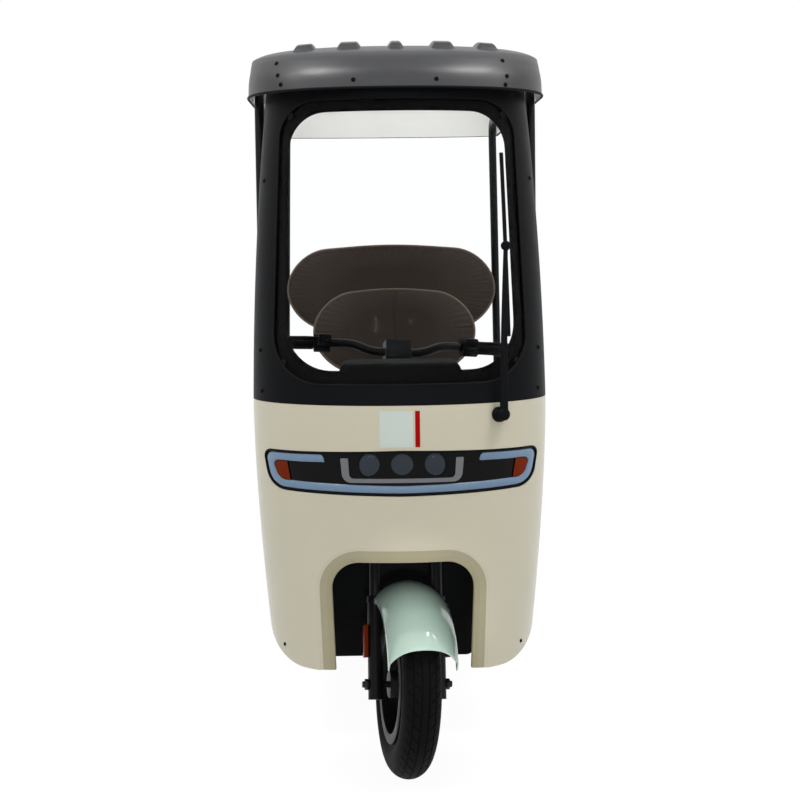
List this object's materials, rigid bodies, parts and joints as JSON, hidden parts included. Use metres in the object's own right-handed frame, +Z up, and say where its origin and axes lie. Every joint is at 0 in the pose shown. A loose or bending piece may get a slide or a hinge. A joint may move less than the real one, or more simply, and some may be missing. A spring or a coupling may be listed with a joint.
{
  "type": "electric passenger tricycle",
  "caption": "Open-sided electric passenger tricycle with a moulded front cowl, curved windscreen, roof, driver seat and rear bench; steers and rolls.",
  "frame": {"origin": "on the ground below the middle of the overall box", "axes": "+Z up, the vehicle faces -Y, +X is its left side"},
  "size_m": [0.76, 2.05, 1.735],
  "materials": {
    "cream_body": "glossy moulded plastic, cream",
    "mint_body": "glossy moulded plastic, mint",
    "black_panel": "satin black moulded plastic",
    "black_plastic": "grained black plastic",
    "black_steel": "black powder coat",
    "dark_alloy": "dark grey painted cast metal",
    "bright_steel": "zinc plated steel",
    "silver_trim": "silver painted plastic",
    "brown_leather": "dark brown leatherette with piping",
    "rubber": "black rubber",
    "tyre": "black road tyre",
    "screen_glass": "clear laminated glass with a black border",
    "lens_glass": "smoked clear lens",
    "strip_lens": "pale blue light guide",
    "amber_lens": "amber lens",
    "red_lens": "red lens",
    "battery_case": "plain battery case"
  },
  "bodies": {
    "chassis": {"frame_rails": "black_steel", "frame_members": "black_steel", "steering_neck": "black_steel", "floor_pan": "black_plastic", "side_sills": "cream_body", "front_cowl": "cream_body", "headlamp_panel": "black_panel", "light_strip": "strip_lens", "turn_signals": "amber_lens", "lamp_lenses": "lens_glass", "lamp_trim": "silver_trim", "windscreen_surround": "black_panel", "windscreen_glass": "screen_glass", "windscreen_wiper": "black_plastic", "roof_panel": "black_panel", "front_posts": "black_steel", "roof_rails": "black_steel", "rear_posts": "black_steel", "back_bar_tube": "black_steel", "leg_shield": "black_plastic", "column_shroud": "black_plastic", "wheel_well_plate": "black_plastic", "dash_shelf": "black_plastic", "instrument_hood": "black_plastic", "driver_seat_box": "black_plastic", "driver_cushion": "brown_leather", "driver_back": "brown_leather", "driver_back_straps": "black_steel", "bench_cushion": "brown_leather", "bench_back": "brown_leather", "arm_rests": "black_steel", "rear_body": "cream_body", "rear_well_liners": "black_plastic", "tail_lamps": "red_lens", "rear_bumper": "black_steel", "tow_eye": "black_steel", "battery_pack": "battery_case", "rear_axle": "dark_alloy", "leaf_springs": "black_steel"},
    "steering": {"steering_stem": "black_steel", "fork_tubes": "bright_steel", "fork_sliders": "black_steel", "front_axle": "bright_steel", "front_brake_plate": "dark_alloy", "fork_reflectors": "amber_lens", "front_mudguard": "mint_body", "handlebar": "black_steel", "bar_clamp": "dark_alloy", "hand_grips": "rubber", "control_housings": "black_plastic"},
    "front_wheel": {"front_tyre": "tyre", "front_rim": "dark_alloy"},
    "rear_left_wheel": {"rear_left_tyre": "tyre", "rear_left_rim": "dark_alloy"},
    "rear_right_wheel": {"rear_right_tyre": "tyre", "rear_right_rim": "dark_alloy"}
  },
  "joints": [
    {"name": "steering_turn", "type": "hinge", "parent": "chassis", "child": "steering", "pos_m": [0, -0.72603, 0.19884], "axis": [0, 0.309, 0.9511], "range_deg": [-50, 30]},
    {"name": "front_wheel_spin", "type": "hinge", "parent": "steering", "child": "front_wheel", "pos_m": [0.01077, -0.7841, 0.21771], "axis": [0.9848, 0.1651, -0.0537], "continuous": true},
    {"name": "rear_left_wheel_spin", "type": "hinge", "parent": "chassis", "child": "rear_left_wheel", "pos_m": [0.31, 0.635, 0.218], "axis": [1, 0, 0], "continuous": true},
    {"name": "rear_right_wheel_spin", "type": "hinge", "parent": "chassis", "child": "rear_right_wheel", "pos_m": [-0.31, 0.635, 0.218], "axis": [1, 0, 0], "continuous": true}
  ]
}
